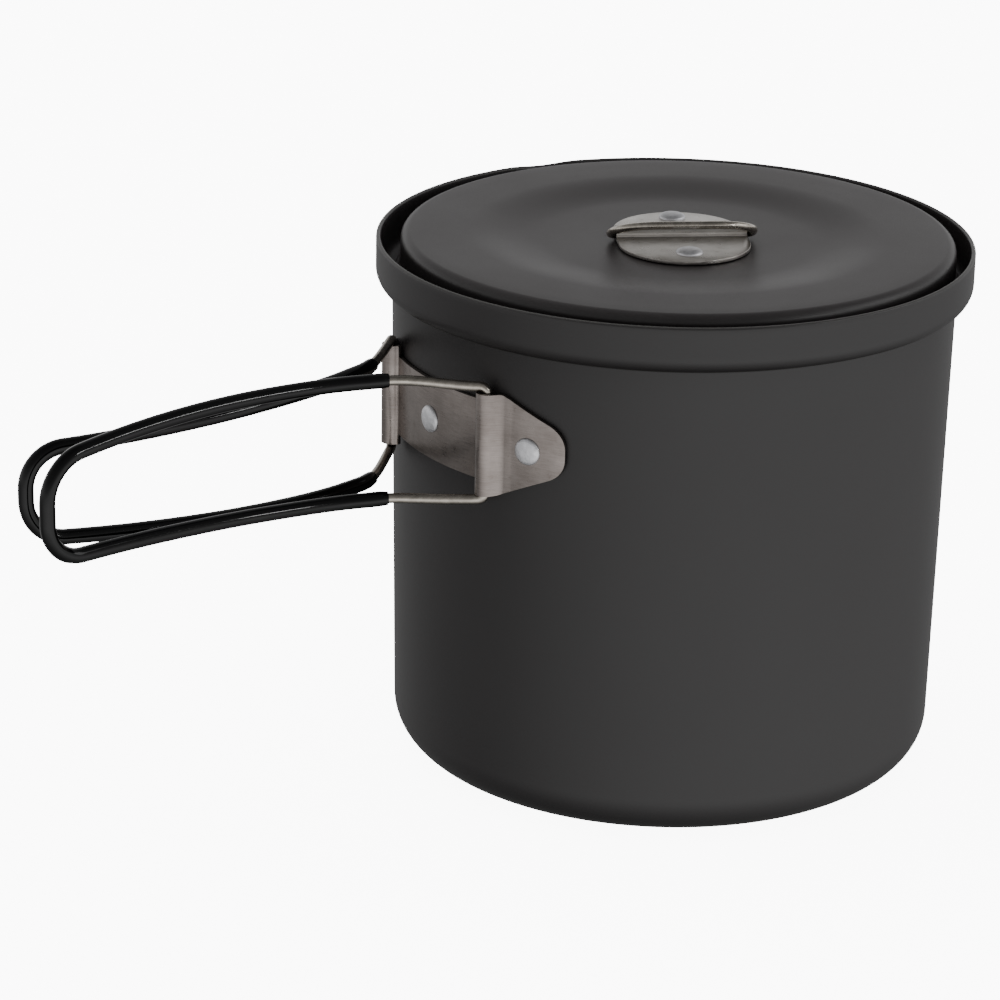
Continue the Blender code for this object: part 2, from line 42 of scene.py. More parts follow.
# sizes in metres, +Z up, the pot stands on z = 0 and its handles reach out along -X
weld = 0.000001  # points nearer than this become one


def arc(cx, cy, radius, start, end, steps):
    out = []
    for i in range(steps + 1):
        a = math.radians(start + (end - start) * i / steps)
        out.append((cx + radius * math.cos(a), cy + radius * math.sin(a)))
    return out


def ease(t):
    t = min(1.0, max(0.0, t))
    return t * t * (3 - 2 * t)


def clearSelection():
    if bpy.context.object and bpy.context.object.mode != "OBJECT":
        bpy.ops.object.mode_set(mode="OBJECT")
    bpy.ops.object.select_all(action="DESELECT")


def pickOnly(piece):
    clearSelection()
    piece.select_set(True)
    bpy.context.view_layer.objects.active = piece


def pickVerts(piece, wanted):
    shape = bmesh.from_edit_mesh(piece.data)
    for v in shape.verts:
        v.select = wanted(v.co)
    shape.select_flush_mode()
    bmesh.update_edit_mesh(piece.data)


def applyPlace():
    bpy.ops.object.transform_apply(location=True, rotation=True, scale=True)


def applyAll(piece):
    pickOnly(piece)
    for change in list(piece.modifiers):
        bpy.ops.object.modifier_apply(modifier=change.name)


def faceOutward(merge):
    # from edit mode back to object mode, with every face turned outward
    bpy.ops.mesh.select_all(action="SELECT")
    if merge:
        bpy.ops.mesh.remove_doubles(threshold=weld)
    bpy.ops.mesh.normals_make_consistent(inside=False)
    bpy.ops.object.mode_set(mode="OBJECT")


def roundEdges(piece, width, segments, angle):
    soft = piece.modifiers.new("edges", "BEVEL")
    soft.width = width
    soft.segments = segments
    soft.limit_method = "ANGLE"
    soft.angle_limit = math.radians(angle)


def turnRings(name, rings, segments):
    # a round solid, each ring pulled out of the one before, from the middle of one side to the other
    clearSelection()
    radius, height = rings[0]
    middle = (0, 0, height)
    bpy.ops.mesh.primitive_circle_add(vertices=segments, radius=radius, fill_type="TRIFAN", location=middle)
    piece = bpy.context.object
    piece.name = name
    applyPlace()
    bpy.ops.object.mode_set(mode="EDIT")
    pickVerts(piece, lambda co: co.xy.length > radius / 2)
    for nextRadius, nextHeight in rings[1:]:
        bpy.ops.mesh.extrude_region_move(TRANSFORM_OT_translate={"value": (0, 0, nextHeight - height)})
        grow = nextRadius / radius
        bpy.ops.transform.resize(value=(grow, grow, 1), center_override=(0, 0, nextHeight))
        radius, height = nextRadius, nextHeight
    bpy.ops.mesh.extrude_region_move(TRANSFORM_OT_translate={"value": (0, 0, 0)})
    bpy.ops.mesh.merge(type="CENTER")
    faceOutward(merge=True)
    return piece


def pullStrip(name, stations, across):
    # a strip pulled along its stations, each the middle of the edge and half its width
    clearSelection()
    bpy.ops.mesh.primitive_plane_add()
    piece = bpy.context.object
    piece.name = name
    bpy.ops.object.mode_set(mode="EDIT")
    pickVerts(piece, lambda co: co.x > 0)
    bpy.ops.mesh.delete(type="VERT")  # one edge of the plane is left to pull from
    middle, half = stations[0]
    shape = bmesh.from_edit_mesh(piece.data)
    for v, way in zip(shape.verts, (-1, 1)):
        v.co = middle + across * half * way
        v.select = True
    for e in shape.edges:
        e.select = True
    bmesh.update_edit_mesh(piece.data)
    bpy.ops.mesh.select_all(action="SELECT")
    for nextMiddle, nextHalf in stations[1:]:
        bpy.ops.mesh.extrude_region_move(TRANSFORM_OT_translate={"value": tuple(nextMiddle - middle)})
        grow = nextHalf / half
        bpy.ops.transform.resize(value=(grow, grow, grow), center_override=tuple(nextMiddle))
        middle, half = nextMiddle, nextHalf
    bpy.ops.object.mode_set(mode="OBJECT")
    return piece


def thicken(piece, thickness, edgeRound):
    wall = piece.modifiers.new("sheet", "SOLIDIFY")
    wall.thickness = thickness
    wall.offset = 0.0
    wall.use_even_offset = True
    roundEdges(piece, edgeRound, segments=3, angle=50)
    applyAll(piece)
    bpy.ops.object.mode_set(mode="EDIT")
    faceOutward(merge=False)


def bendTube(name, points, radius, sides, closedEnds, swellAt=None):
    clearSelection()
    curve = bpy.data.curves.new(name, "CURVE")
    curve.dimensions = "3D"
    curve.bevel_depth = radius
    curve.bevel_resolution = sides
    curve.use_fill_caps = closedEnds
    line = curve.splines.new("POLY")
    line.points.add(len(points) - 1)
    for i, (point, place) in enumerate(zip(line.points, points)):
        point.co = (*place, 1.0)
        point.radius = swellAt(i) if swellAt else 1.0
    piece = bpy.data.objects.new(name, curve)
    bpy.context.scene.collection.objects.link(piece)
    piece.select_set(True)
    bpy.context.view_layer.objects.active = piece
    bpy.ops.object.convert(target="MESH")
    piece = bpy.context.object
    bpy.ops.object.mode_set(mode="EDIT")
    faceOutward(merge=True)
    return piece


def settle(piece, material, body, slotName, *nodes, angle=40.0):
    # shaded, painted, and riding where the node it stands for rides
    pickOnly(piece)
    bpy.ops.object.shade_smooth_by_angle(angle=math.radians(angle))
    piece.data.materials.clear()
    piece.data.materials.append(material)
    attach(piece, body)
    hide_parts(*nodes)


def smoothRoute(route, steps):
    # a smooth line through every point of the route
    ghost = [route[0] * 2 - route[1]] + route + [route[-1] * 2 - route[-2]]
    out = []
    for a, b, c, d in zip(ghost, ghost[1:], ghost[2:], ghost[3:]):
        for k in range(steps):
            t = k / steps
            bend = (2 * a - 5 * b + 4 * c - d) * t**2 + (3 * b - a - 3 * c + d) * t**3
            out.append(0.5 * (2 * b + (c - a) * t + bend))
    return out + [route[-1]]


def newFinish(name, baseColor, metallic, roughness):
    material = bpy.data.materials.new(name)
    material.use_nodes = True
    shader = material.node_tree.nodes["Principled BSDF"]
    shader.inputs["Base Color"].default_value = (*baseColor, 1)
    shader.inputs["Metallic"].default_value = metallic
    shader.inputs["Roughness"].default_value = roughness
    return material, shader


def addNode(tree, kind, values=None, **settings):
    node = tree.nodes.new(kind)
    for key, value in settings.items():
        setattr(node, key, value)
    for key, value in (values or {}).items():
        node.inputs[key].default_value = value
    return node


def objectPoint(tree, centre=(0, 0, 0), turn=(0, 0, 0), stretch=(1, 1, 1)):
    coords = addNode(tree, "ShaderNodeTexCoord")
    place = addNode(tree, "ShaderNodeMapping", {"Rotation": turn, "Scale": stretch})
    shift = addNode(tree, "ShaderNodeVectorMath", operation="SUBTRACT")
    shift.inputs[1].default_value = centre
    tree.links.new(coords.outputs["Object"], shift.inputs[0])
    tree.links.new(shift.outputs["Vector"], place.inputs["Vector"])
    return place.outputs["Vector"]


def noise(tree, point, scale, detail, rough=0.55):
    node = addNode(tree, "ShaderNodeTexNoise", {"Scale": scale, "Detail": detail, "Roughness": rough})
    tree.links.new(point, node.inputs["Vector"])
    return node.outputs["Fac"]


def fit(tree, value, source, target=(0.0, 1.0)):
    # the source range is stretched to the target range, and cut off past its ends
    node = addNode(tree, "ShaderNodeMapRange")
    for key, number in zip(("From Min", "From Max", "To Min", "To Max"), (*source, *target)):
        node.inputs[key].default_value = number
    tree.links.new(value, node.inputs["Value"])
    return node.outputs["Result"]


def blendColors(tree, share, first, second):
    # first and second are colours, or the output of another blend
    node = addNode(tree, "ShaderNodeMix", data_type="RGBA")
    tree.links.new(share, node.inputs["Factor"])
    for socket, value in ((node.inputs[6], first), (node.inputs[7], second)):
        if isinstance(value, tuple):
            socket.default_value = (*value, 1)
        else:
            tree.links.new(value, socket)
    return node.outputs[2]


def addUp(tree, first, second):
    node = addNode(tree, "ShaderNodeMath", operation="ADD")
    tree.links.new(first, node.inputs[0])
    tree.links.new(second, node.inputs[1])
    return node.outputs[0]


def bumpy(tree, shader, *layers):
    # each layer is a height, and then its strength and its depth in metres
    normal = None
    for height, (strength, depth) in layers:
        node = addNode(tree, "ShaderNodeBump", {"Strength": strength, "Distance": depth})
        tree.links.new(height, node.inputs["Height"])
        if normal:
            tree.links.new(normal, node.inputs["Normal"])
        normal = node.outputs["Normal"]
    tree.links.new(normal, shader.inputs["Normal"])


def ringPoint(tree, centre):
    # radius and height round an axis, so that a pattern runs in circles as turning marks do
    place = objectPoint(tree, centre)
    split = addNode(tree, "ShaderNodeSeparateXYZ")
    tree.links.new(place, split.inputs[0])
    flat = addNode(tree, "ShaderNodeCombineXYZ")
    tree.links.new(split.outputs["X"], flat.inputs["X"])
    tree.links.new(split.outputs["Y"], flat.inputs["Y"])
    away = addNode(tree, "ShaderNodeVectorMath", operation="LENGTH")
    tree.links.new(flat.outputs[0], away.inputs[0])
    both = addNode(tree, "ShaderNodeCombineXYZ")
    tree.links.new(away.outputs["Value"], both.inputs["X"])
    tree.links.new(split.outputs["Z"], both.inputs["Z"])
    return both.outputs[0], split.outputs["Z"]


# in each finish a pattern is its scale, detail and roughness, and a bump is its strength and depth
anodised = {
    "dark": (0.0094, 0.0080, 0.0082),
    "light": (0.0132, 0.0114, 0.0116),
    "edge": (0.026, 0.025, 0.024),
    "edgeFade": 0.0004,
    "roughness": (0.40, 0.48),
    "specular": 0.50,
    "clouds": (22.0, 4.0),
    "marks": (1400.0, 2.0),
    "grit": (5200.0, 2.0),
    "spread": (0.7, 1.3),
    "gritBump": (0.20, 0.00004),
    "marksBump": (0.02, 0.00002),
}


def anodisedFinish(name, centre, edgeZ):
    look = anodised
    material, shader = newFinish(name, look["dark"], 0.0, look["roughness"][1])
    tree = material.node_tree
    shader.inputs["Specular IOR Level"].default_value = look["specular"]
    around, height = ringPoint(tree, centre)
    place = objectPoint(tree, centre)
    clouds = noise(tree, place, *look["clouds"])
    marks = noise(tree, around, *look["marks"])
    grit = noise(tree, place, *look["grit"])
    both = addUp(tree, clouds, grit)
    coat = blendColors(tree, fit(tree, both, look["spread"]), look["dark"], look["light"])
    worn = fit(tree, height, (edgeZ - look["edgeFade"], edgeZ))
    tree.links.new(blendColors(tree, worn, coat, look["edge"]), shader.inputs["Base Color"])
    tree.links.new(fit(tree, both, look["spread"], look["roughness"]), shader.inputs["Roughness"])
    bumpy(tree, shader, (grit, look["gritBump"]), (marks, look["marksBump"]))
    return material


sheetSteel = {
    "roughness": (0.26, 0.38),
    "rolled": (1, 1, 26),
    "scratched": (1, 30, 1),
    "scratchTurn": (0.5, 0.9, 0.7),
    "clouds": (130.0, 5.0),
    "stains": (420.0, 6.0, 0.7),
    "lines": (240.0, 3.0),
    "nicks": (260.0, 2.0),
    "spread": (0.75, 1.3),
    "stained": (0.60, 0.74),
    "stainShare": (0.0, 0.8),
    "cloudsBump": (0.30, 0.0003),
    "linesBump": (0.12, 0.00004),
    "nicksBump": (0.15, 0.00004),
}


def sheetSteelFinish(name, tones):
    look = sheetSteel
    material, shader = newFinish(name, tones["light"], 1.0, look["roughness"][1])
    tree = material.node_tree
    place = objectPoint(tree)
    rolled = objectPoint(tree, turn=tones["grainTurn"], stretch=look["rolled"])
    scratched = objectPoint(tree, turn=look["scratchTurn"], stretch=look["scratched"])
    clouds = noise(tree, place, *look["clouds"])
    stains = noise(tree, place, *look["stains"])
    lines = noise(tree, rolled, *look["lines"])
    nicks = noise(tree, scratched, *look["nicks"])
    tone = fit(tree, addUp(tree, clouds, lines), look["spread"])
    steel = blendColors(tree, tone, tones["dark"], tones["light"])
    stained = fit(tree, stains, look["stained"], look["stainShare"])
    tree.links.new(blendColors(tree, stained, steel, tones["stain"]), shader.inputs["Base Color"])
    dull = fit(tree, addUp(tree, stains, lines), look["spread"], look["roughness"])
    tree.links.new(dull, shader.inputs["Roughness"])
    layers = [(clouds, look["cloudsBump"]), (lines, look["linesBump"]), (nicks, look["nicksBump"])]
    bumpy(tree, shader, *layers)
    return material


wireSteel = {
    "dark": (0.36, 0.33, 0.29),
    "light": (0.54, 0.50, 0.44),
    "roughness": (0.22, 0.34),
    "lines": (900.0, 3.0),
    "clouds": (240.0, 3.0),
    "spread": (0.75, 1.25),
    "cloudSpread": (0.35, 0.65),
    "linesBump": (0.05, 0.00002),
    "cloudsBump": (0.05, 0.00005),
}


def wireSteelFinish(name, stretch):
    look = wireSteel
    material, shader = newFinish(name, look["light"], 1.0, look["roughness"][0])
    tree = material.node_tree
    lines = noise(tree, objectPoint(tree, stretch=stretch), *look["lines"])
    clouds = noise(tree, objectPoint(tree), *look["clouds"])
    tone = fit(tree, addUp(tree, lines, clouds), look["spread"])
    tree.links.new(blendColors(tree, tone, look["dark"], look["light"]), shader.inputs["Base Color"])
    tree.links.new(fit(tree, clouds, look["cloudSpread"], look["roughness"]), shader.inputs["Roughness"])
    bumpy(tree, shader, (lines, look["linesBump"]), (clouds, look["cloudsBump"]))
    return material


rivetMetal = {
    "dark": (0.62, 0.62, 0.64),
    "light": (0.80, 0.80, 0.82),
    "roughness": (0.40, 0.55),
    "dents": (700.0, 2.0),
    "grit": (4200.0, 3.0),
    "spread": (0.75, 1.25),
    "gritSpread": (0.35, 0.65),
    "dentsBump": (0.45, 0.0003),
    "gritBump": (0.2, 0.00005),
}


def rivetFinish(name, centre):
    look = rivetMetal
    material, shader = newFinish(name, look["light"], 1.0, look["roughness"][1])
    tree = material.node_tree
    place = objectPoint(tree, centre)
    dents = noise(tree, place, *look["dents"])
    grit = noise(tree, place, *look["grit"])
    tone = fit(tree, addUp(tree, dents, grit), look["spread"])
    tree.links.new(blendColors(tree, tone, look["dark"], look["light"]), shader.inputs["Base Color"])
    tree.links.new(fit(tree, grit, look["gritSpread"], look["roughness"]), shader.inputs["Roughness"])
    bumpy(tree, shader, (dents, look["dentsBump"]), (grit, look["gritBump"]))
    return material


vinyl = {
    "dark": (0.0012, 0.0012, 0.0014),
    "light": (0.0035, 0.0035, 0.0040),
    "roughness": (0.06, 0.11),
    "specular": 0.28,
    "waves": (110.0, 2.0),
    "dust": (1900.0, 4.0, 0.7),
    "spread": (0.75, 1.25),
    "dusty": (0.52, 0.75),
    "wavesBump": (0.25, 0.0003),
    "dustBump": (0.04, 0.00004),
}


def vinylFinish(name):
    look = vinyl
    material, shader = newFinish(name, look["dark"], 0.0, look["roughness"][1])
    tree = material.node_tree
    shader.inputs["Specular IOR Level"].default_value = look["specular"]
    place = objectPoint(tree)
    waves = noise(tree, place, *look["waves"])
    dust = noise(tree, place, *look["dust"])
    black = blendColors(tree, fit(tree, dust, look["dusty"]), look["dark"], look["light"])
    tree.links.new(black, shader.inputs["Base Color"])
    sheen = fit(tree, addUp(tree, waves, dust), look["spread"], look["roughness"])
    tree.links.new(sheen, shader.inputs["Roughness"])
    bumpy(tree, shader, (waves, look["wavesBump"]), (dust, look["dustBump"]))
    return material


pot = {
    "baseRadius": 0.0693,
    "wallRadius": 0.0707,
    "cornerRadius": 0.0112,
    "wall": 0.0012,
    "crease": 0.0005,
    "creaseZ": 0.1224,
    "stepRadius": 0.0039,
    "rimRadius": 0.07485,
    "rimZ": 0.1343,
    "baseRings": (0.004, 0.020, 0.040),
    "innerCrease": 0.6,  # in walls, above the outer crease
    "wallSteps": 9,
    "rimSteps": 7,
    "segments": 192,
}


def potRings():
    # up the outside from the middle of the base, over the rim and down the inside
    p = pot
    half = p["wall"] / 2
    corner = p["cornerRadius"]
    crease = p["crease"]
    stepX = p["rimRadius"] - p["stepRadius"]
    stepZ = p["creaseZ"] + p["stepRadius"]
    cornerX = p["baseRadius"] - corner
    rings = [(radius, 0.0) for radius in p["baseRings"]]
    rings += arc(cornerX, corner, corner, -90, 0, steps=16)
    for i in range(1, p["wallSteps"]):
        t = i / p["wallSteps"]
        radius = p["baseRadius"] + (p["wallRadius"] - p["baseRadius"]) * t
        rings.append((radius, corner + (p["creaseZ"] - crease - corner) * t))
    rings += arc(p["wallRadius"] + crease, p["creaseZ"] - crease, crease, 180, 90, steps=4)
    rings += arc(stepX, stepZ, p["stepRadius"], -60, 0, steps=9)
    straight = p["rimZ"] - half - stepZ
    heights = [stepZ + straight * i / p["rimSteps"] for i in range(1, p["rimSteps"])]
    rings += [(p["rimRadius"], height) for height in heights]
    rings += arc(p["rimRadius"] - half, p["rimZ"] - half, half, 0, 180, steps=8)
    rings += [(p["rimRadius"] - p["wall"], height) for height in reversed(heights)]
    rings += arc(stepX, stepZ, p["stepRadius"] - p["wall"], 0, -80, steps=7)
    rings.append((p["wallRadius"] - p["wall"], p["creaseZ"] + p["wall"] * p["innerCrease"]))
    rings += arc(cornerX, corner, corner - p["wall"], 0, -90, steps=14)
    return rings + [(radius, p["wall"]) for radius in reversed(p["baseRings"])]


spout = {
    "angle": 97.0,  # degrees round from the handles
    "halfWidth": 8.0,
    "out": 0.0012,
    "dip": 0.0009,
}


def pullSpout(piece):
    around = math.radians(180 - spout["angle"])
    start = pot["creaseZ"] + pot["stepRadius"]
    for v in piece.data.vertices:
        off = math.degrees(abs(math.atan2(v.co.y, v.co.x) - around))
        if v.co.z < start or off > spout["halfWidth"]:
            continue
        share = 0.5 + 0.5 * math.cos(math.pi * off / spout["halfWidth"])
        rise = ((v.co.z - start) / (pot["rimZ"] - start)) ** 2
        out = Vector((v.co.x, v.co.y, 0)).normalized() * spout["out"]
        v.co += share * rise * (out - Vector((0, 0, spout["dip"])))


def makePot():
    piece = turnRings("pot_shell", potRings(), pot["segments"])
    pullSpout(piece)
    material = anodisedFinish("anodised_pot", (0, 0, 0), pot["rimZ"])
    settle(piece, material, "pot", "hard_anodised_aluminium", "pot_body", angle=50)


bracket = {
    "middleZ": 0.0986,
    "sheet": 0.0009,
    "radius": 0.0713,  # middle of the sheet
    "gap": 0.0003,
    "barrelAngle": 17.3,
    "barrelRadius": 0.0727,
    "bore": 0.00175,
    "footRound": 1.1,  # in sheets, the fillet between the web and the barrel
    "webStop": 1.9,  # in sheets, from the bore to the end of the web
    "flankAngle": 36.0,  # degrees; the roll leaves its circle here and slopes down to the lobe
    "flankFillet": 0.0028,
    "barrelTop": 0.1114,
    "barrelBottom": 0.0857,
    "barrelRound": 0.0005,
    "shoulder": 0.0012,
    "shoulderRound": 0.0030,
    "webHalf": 0.0101,
    "rivetAngle": 26.3,
    "lobeReach": 0.0401,  # sideways from the middle
    "lobeUp": 0.0058,
    "lobeDown": 0.0046,
    "lobeRound": 0.0063,
    "lobeSteps": 30,
    "edgeRound": 0.00016,
    # painted shade: these stainless tones are a darker copy of the knob plate's steel, standing in for the
    # dimmer light on the bracket
    "tones": {
        "dark": (0.205, 0.178, 0.164),
        "light": (0.315, 0.280, 0.262),
        "stain": (0.16, 0.135, 0.118),
        "grainTurn": (0, 0, 0),
    },
}


def roundedCorners(corners, steps=10):
    # a closed outline, each corner with its own radius
    points = [Vector(place) for place, radius in corners]
    radii = [radius for place, radius in corners]
    out = []
    for i, (here, radius) in enumerate(zip(points, radii)):
        back = (points[i - 1] - here).normalized()
        ahead = (points[(i + 1) % len(points)] - here).normalized()
        half = back.angle(ahead) / 2
        centre = here + (back + ahead).normalized() * (radius / math.sin(half))
        first = here + back * (radius / math.tan(half)) - centre
        last = here + ahead * (radius / math.tan(half)) - centre
        turn = math.atan2(first.x * last.y - first.y * last.x, first.dot(last))
        out += [centre + Matrix.Rotation(turn * k / steps, 2) @ first for k in range(steps + 1)]
    return out


def readAt(chain, x):
    # the height of an edge at one sideways place
    for a, b in zip(chain, chain[1:]):
        if a.x <= x <= b.x and b.x > a.x:
            return a.y + (b.y - a.y) * (x - a.x) / (b.x - a.x)
    return chain[-1].y if x > chain[-1].x else chain[0].y


def barrelEdges():
    # sideways places of the barrel's two sides
    b = bracket
    middle = b["barrelRadius"] * math.sin(math.radians(b["barrelAngle"]))
    inner = middle - b["bore"] - b["sheet"] - b["gap"]
    return inner, inner + 2 * (b["bore"] + b["sheet"])


def lobeChains():
    # the stamped outline of one side: its upper and its lower edge, as sideways place and height
    b = bracket
    inner, outer = barrelEdges()
    middle = b["middleZ"]
    corners = [
        ((inner, b["barrelTop"]), b["barrelRound"]),
        ((outer + b["shoulder"], b["barrelTop"]), b["shoulderRound"]),
        ((b["lobeReach"], middle + b["lobeUp"]), b["lobeRound"]),
        ((b["lobeReach"], middle - b["lobeDown"]), b["lobeRound"]),
        ((outer, b["barrelBottom"]), b["shoulderRound"]),
        ((inner, b["barrelBottom"]), b["barrelRound"]),
    ]
    outline = roundedCorners(corners)
    upper = sorted((p for p in outline if p.y > middle), key=lambda p: p.x)
    lower = sorted((p for p in outline if p.y <= middle), key=lambda p: p.x)
    return upper, lower


def bracketPlan():
    # the folded sheet seen from above, from the middle of the web to the end of the +Y lobe
    b = bracket
    radius = b["radius"]
    fillet = b["flankFillet"]
    foot = b["sheet"] * b["footRound"]
    middle = b["bore"] + b["sheet"] / 2
    footAngle = math.degrees((b["bore"] + b["sheet"] * b["webStop"]) / radius)
    lean = math.radians(b["flankAngle"])
    drop = b["barrelRadius"] - radius - fillet
    flank = (middle + fillet + drop * math.sin(lean)) / math.cos(lean)
    lobeAngle = math.degrees(math.asin(b["lobeReach"] / radius))
    web = arc(0, 0, radius, 180, 180 - b["barrelAngle"] + footAngle, steps=16)
    roll = arc(-middle - foot, radius + foot, foot, -90, 0, steps=8)
    roll += arc(0, b["barrelRadius"], middle, 180, b["flankAngle"], steps=26)
    roll += arc(flank, radius + fillet, fillet, 180 + b["flankAngle"], 270, steps=8)
    turn = Matrix.Rotation(math.radians(90 - b["barrelAngle"]), 2)
    barrel = [tuple(turn @ Vector(p)) for p in roll]
    start = b["barrelAngle"] + math.degrees((flank + b["gap"]) / radius)
    lobe = []
    for i in range(1, b["lobeSteps"] + 1):
        # closer together toward the rounded end
        share = math.sin(math.pi / 2 * i / b["lobeSteps"])
        a = math.radians(180 - start - (lobeAngle - start) * share)
        lobe.append((radius * math.cos(a), radius * math.sin(a)))
    return web[:-1] + barrel + lobe


def bracketStations():
    # the middle and the half height of the sheet along its path
    inner = barrelEdges()[0]
    upper, lower = lobeChains()
    half = []
    plan = [Vector((x, y)) for x, y in bracketPlan()]
    hair = 0.00003  # to either side of the barrel's edge, where the height jumps
    for place, after in zip(plan, plan[1:] + [None]):
        if place.y < inner:
            half.append((place, bracket["middleZ"], bracket["webHalf"]))
        else:
            top = readAt(upper, place.y)
            low = readAt(lower, place.y)
            half.append((place, (top + low) / 2, (top - low) / 2))
        if after and place.y < inner <= after.y:
            t = (inner - place.y) / (after.y - place.y)
            edge = place.lerp(after, t)
            ahead = (after - place).normalized() * hair
            top = bracket["barrelTop"]
            low = bracket["barrelBottom"]
            half.append((edge - ahead, bracket["middleZ"], bracket["webHalf"]))
            half.append((edge + ahead, (top + low) / 2, (top - low) / 2))
    other = [(Vector((p.x, -p.y)), middle, height) for p, middle, height in half[:0:-1]]
    return [(Vector((p.x, p.y, middle)), height) for p, middle, height in other + half]


def makeBracket():
    piece = pullStrip("bracket_sheet", bracketStations(), Vector((0, 0, 1)))
    thicken(piece, bracket["sheet"], bracket["edgeRound"])
    material = sheetSteelFinish("bracket_steel_painted_shade", bracket["tones"])
    settle(piece, material, "pot", "stainless_steel", "handle_bracket")


def rivetRings(size, outer, inner):
    # the domed head down to the sheet, the shank through it, and the flat head on the other side
    dome = 2.3
    domeSteps = 14
    edge = 0.0003
    backEdge = 0.0004
    flatShare = 0.4
    back = size["back"]
    bottom = inner - size["backRise"]
    rings = []
    for i in range(1, domeSteps + 1):
        share = math.sin(math.pi / 2 * i / domeSteps)
        rings.append((size["head"] * share, outer + size["rise"] * (1 - share**dome) ** (1 / dome)))
    rings += [(size["shank"], outer), (size["shank"], inner), (back - edge, inner)]
    rings += arc(back - edge, inner - edge, edge, 90, 0, steps=4)
    rings += arc(back - backEdge, bottom + backEdge, backEdge, 0, -90, steps=5)
    return rings + [(back * flatShare, bottom)]


def makeRivet(name, size, outer, inner, place, body, node):
    piece = turnRings(name, rivetRings(size, outer, inner), size["segments"])
    piece.matrix_world = place
    pickOnly(piece)
    applyPlace()
    centre = place @ Vector((0, 0, outer))
    settle(piece, rivetFinish(f"{name}_metal", tuple(centre)), body, "rivet_aluminium", node, angle=50)


wallRivet = {
    "shank": 0.0020,
    "head": 0.0034,
    "rise": 0.0012,
    "back": 0.0032,
    "backRise": 0.0010,
    "segments": 48,
}


def makeWallRivets():
    b = bracket
    outer = b["radius"] + b["sheet"] / 2
    share = (b["middleZ"] - pot["cornerRadius"]) / (pot["creaseZ"] - pot["cornerRadius"])
    inner = pot["baseRadius"] + (pot["wallRadius"] - pot["baseRadius"]) * share - pot["wall"]
    for name, side in (("right", 1), ("centre", 0), ("left", -1)):
        around = math.pi + math.radians(side * b["rivetAngle"])
        turn = Matrix.Rotation(around, 4, "Z") @ Matrix.Rotation(math.pi / 2, 4, "Y")
        place = Matrix.Translation((0, 0, b["middleZ"])) @ turn
        makeRivet(f"wall_rivet_{name}", wallRivet, outer, inner, place, "pot", f"bracket_rivet_{name}")


handle = {
    "wire": 0.00125,
    "wireGrain": (0.04, 1, 1),  # its marks are drawn out along the handle
    "sleeve": 0.00188,
    "sleeveWall": 0.00033,
    "sleeveEdge": 0.0001,
    "sleeveSpacing": 0.0006,
    "waist": 0.10,  # share by which the sleeve is drawn in at its ends
    "waistRun": 0.0020,
    "sides": 4,
    "pinGap": 0.0020,
    "bend": 0.0018,
    "half": 0.0143,
    "pinTurn": 0.5,  # share of the half height up to which the pin is one straight piece
    "swell": 0.0006,
    "corner": 0.0100,
    "straightSteps": 60,
    "bowSkew": 1.4,
    "droopRun": 0.0200,
    "swing": 1.1,  # degrees
    "plan": [
        (-0.0835, 0.0083),
        (-0.0930, 0.0048),
        (-0.1060, 0.0028),
        (-0.1260, 0.0021),
        (-0.1480, 0.0029),
        (-0.1650, 0.0043),
        (-0.1790, 0.0061),
    ],
    "planSteps": 24,
}
handleSides = {
    "right": {
        "side": 1,
        "start": 0.0235,  # from the pin to the sleeve
        "taper": 0.0030,
        "lift": 0.0020,
        "spread": 0.0007,
        "droop": 0.0023,
    },
    "left": {
        "side": -1,
        "start": 0.0192,
        "taper": 0.0042,
        "lift": -0.0012,
        "spread": -0.0006,
        "droop": 0.0014,
    },
}


def hingePlace(side):
    a = math.pi + side * math.radians(bracket["barrelAngle"])
    return Vector((bracket["barrelRadius"] * math.cos(a), bracket["barrelRadius"] * math.sin(a)))


def handlePlan(side):
    start = hingePlace(1)
    route = [Vector((start.x, -start.y))] + [Vector(p) for p in handle["plan"]]
    pivot = hingePlace(side)
    swing = Matrix.Rotation(math.radians(handle["swing"]), 2)
    line = smoothRoute(route, handle["planSteps"])
    return [pivot + swing @ (Vector((p.x, -side * p.y)) - pivot) for p in line]


def handleHalf(run, length, taper):
    swell = min(1.0, run / handleSides["left"]["start"])
    return handle["half"] + handle["swell"] * ease(swell) - taper * (run / length) ** 2


def loopOutline(length, taper):
    # run along the plan and height, from the upper pin round to the lower one
    bend = handle["bend"]
    corner = handle["corner"]
    steps = handle["straightSteps"]
    half = [(0.0, handle["pinGap"]), (0.0, handle["half"] * handle["pinTurn"])]
    half += arc(bend, handle["half"] - bend, bend, 180, 90, steps=10)
    start = length - corner
    for i in range(1, steps):
        run = bend + (start - bend) * i / steps
        half.append((run, handleHalf(run, length, taper)))
    half += arc(start, handleHalf(start, length, taper) - corner, corner, 90, 0, steps=18)
    return half + [(run, -height) for run, height in reversed(half)]


def alongPlan(run, distance):
    # the place that far along the run
    left = distance
    for a, b in zip(run, run[1:]):
        step = (b - a).length
        if left <= step:
            return a + (b - a) * (left / step)
        left -= step
    return run[-1]


def handleLine(name):
    own = handleSides[name]
    run = handlePlan(own["side"])
    length = sum((b - a).length for a, b in zip(run, run[1:]))
    points = []
    for distance, height in loopOutline(length, own["taper"]):
        place = alongPlan(run, distance)
        bow = math.sin(math.pi * (distance / length) ** handle["bowSkew"])
        lift = bow * (own["lift"] + own["spread"] * math.copysign(1.0, height))
        droop = own["droop"] * distance / (distance + handle["droopRun"])
        points.append(Vector((place.x, place.y, bracket["middleZ"] + height + lift - droop)))
    return points


def evenly(points, spacing):
    # the same line with a point about every spacing
    out = [points[0]]
    for a, b in zip(points, points[1:]):
        count = max(1, round((b - a).length / spacing))
        out += [a.lerp(b, k / count) for k in range(1, count + 1)]
    return out


